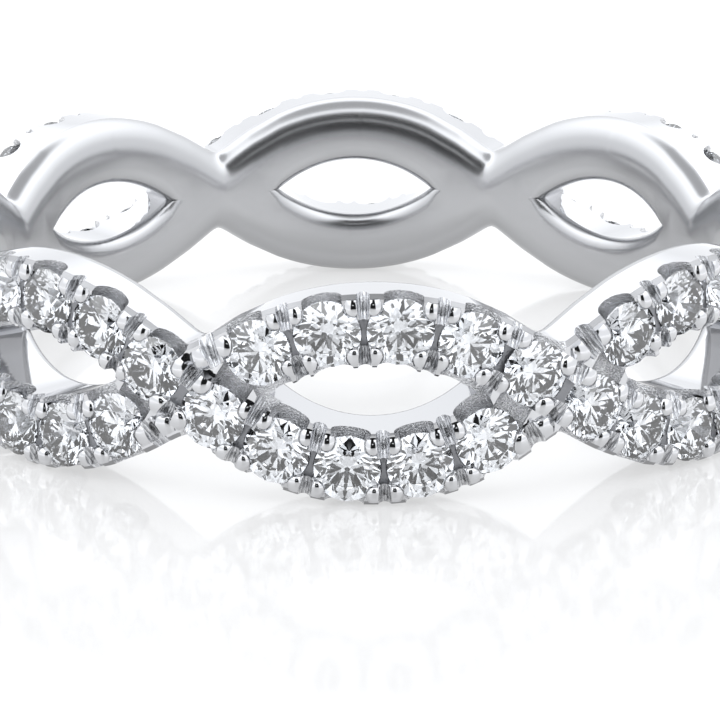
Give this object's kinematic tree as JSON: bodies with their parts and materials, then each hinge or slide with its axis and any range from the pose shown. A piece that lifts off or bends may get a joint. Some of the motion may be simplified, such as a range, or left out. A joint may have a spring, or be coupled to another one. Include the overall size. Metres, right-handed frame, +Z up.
{
  "type": "diamond twist band",
  "caption": "Finger ring of two crossing metal strands set with round stones, with an open eye between crossings.",
  "frame": {"origin": "middle of the finger hole, in the plane that the ring lies on", "axes": "+Z up along the finger's axis, -Y towards the middle of an eye"},
  "size_m": [0.021, 0.021, 0.0045],
  "materials": {
    "metal": "bright polished white gold",
    "stone": "clear brilliant cut"
  },
  "bodies": {
    "root": {"band": "metal", "stones_a": "stone", "stones_b": "stone"}
  },
  "joints": []
}
